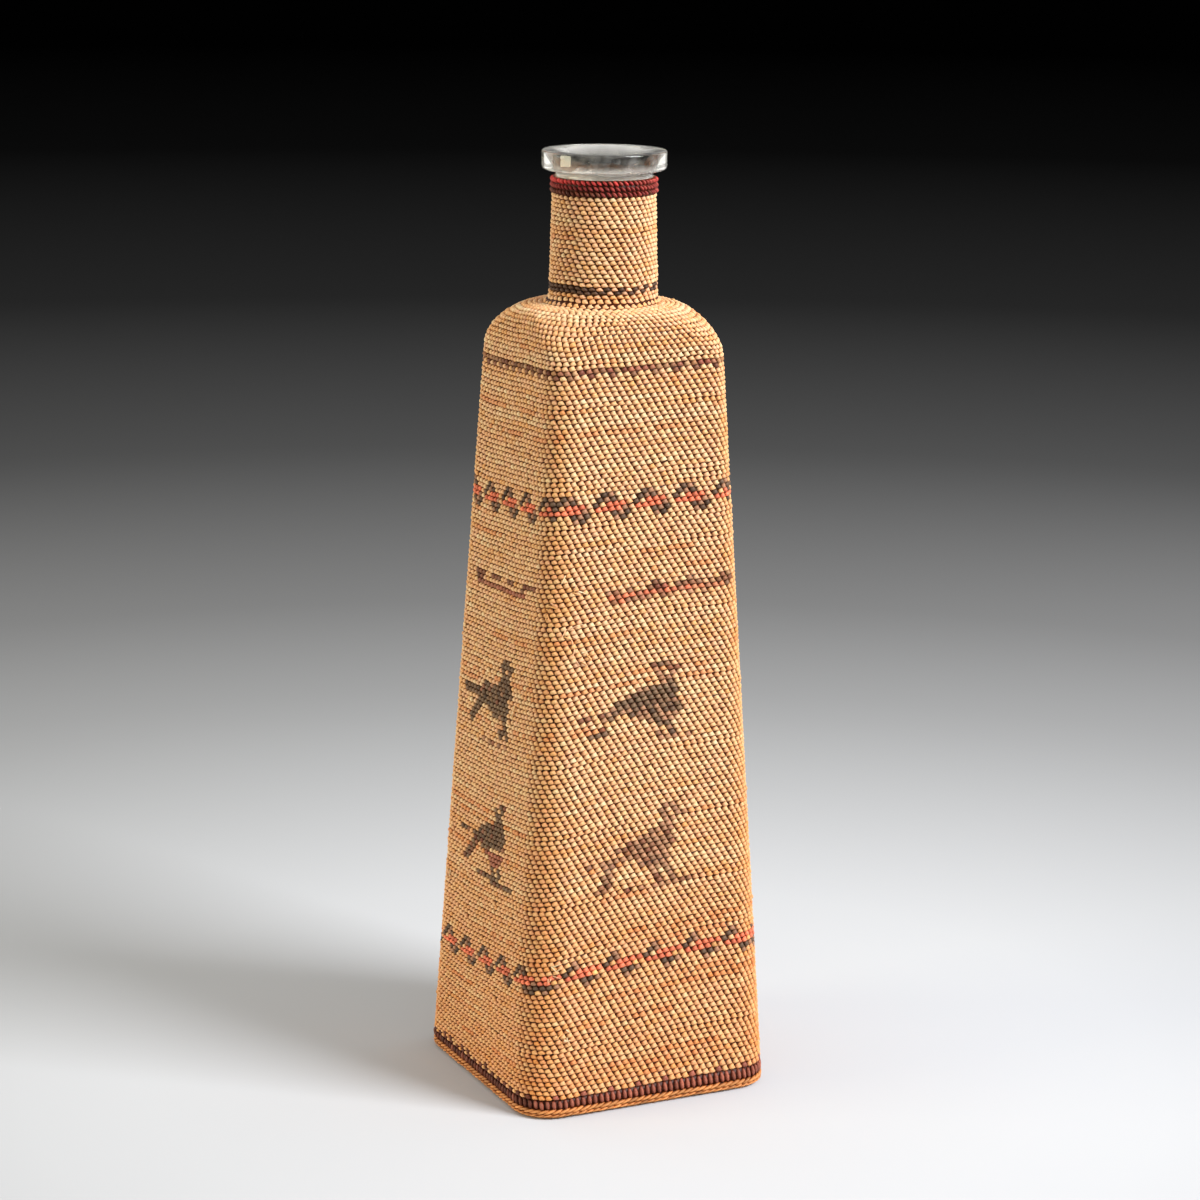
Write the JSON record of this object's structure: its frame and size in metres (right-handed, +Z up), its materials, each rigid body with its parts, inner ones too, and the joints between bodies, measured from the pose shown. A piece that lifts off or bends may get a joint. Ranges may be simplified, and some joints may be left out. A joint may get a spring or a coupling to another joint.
{
  "type": "basket-covered bottle",
  "caption": "Square tapering clear glass bottle with a flared lip, covered from foot to neck in fine twined grass basketry with dyed bands, birds and canoes.",
  "frame": {"origin": "middle of the foot, on the surface the bottle stands on", "axes": "+Z up along the bottle's axis; the four flat faces look along +X, -X, +Y and -Y"},
  "size_m": [0.0832, 0.0832, 0.2815],
  "materials": {
    "clear_glass": "clear, slightly straw-tinted, fire-polished",
    "cedar_bark": "dry, fibrous",
    "natural_grass": "dry grass strands, soft sheen",
    "coral_grass": "dyed grass strands, soft sheen",
    "maroon_grass": "dyed grass strands, soft sheen",
    "brown_grass": "dyed grass strands, soft sheen",
    "charcoal_grass": "dyed grass strands, soft sheen",
    "crimson_grass": "dyed grass strands, soft sheen"
  },
  "bodies": {
    "root": {"glass_bottle": "clear_glass", "warp_lengthwise_1": "cedar_bark", "warp_lengthwise_2": "cedar_bark", "warp_lengthwise_3": "cedar_bark", "warp_lengthwise_4": "cedar_bark", "warp_lengthwise_5": "cedar_bark", "warp_lengthwise_6": "cedar_bark", "warp_crosswise_1": "cedar_bark", "warp_crosswise_2": "cedar_bark", "warp_crosswise_3": "cedar_bark", "warp_crosswise_4": "cedar_bark", "warp_crosswise_5": "cedar_bark", "warp_crosswise_6": "cedar_bark", "lower_wall": "natural_grass", "lower_bird_wall": "natural_grass", "upper_bird_wall": "natural_grass", "canoe_wall": "natural_grass", "upper_wall": "natural_grass", "shoulder_wall": "natural_grass", "neck_wall": "natural_grass", "foot_border": "natural_grass", "lower_zigzag_band": "coral_grass", "upper_zigzag_band": "coral_grass", "foot_band": "maroon_grass", "shoulder_line": "brown_grass", "neck_ring": "charcoal_grass", "rim_binding": "crimson_grass"}
  },
  "joints": []
}
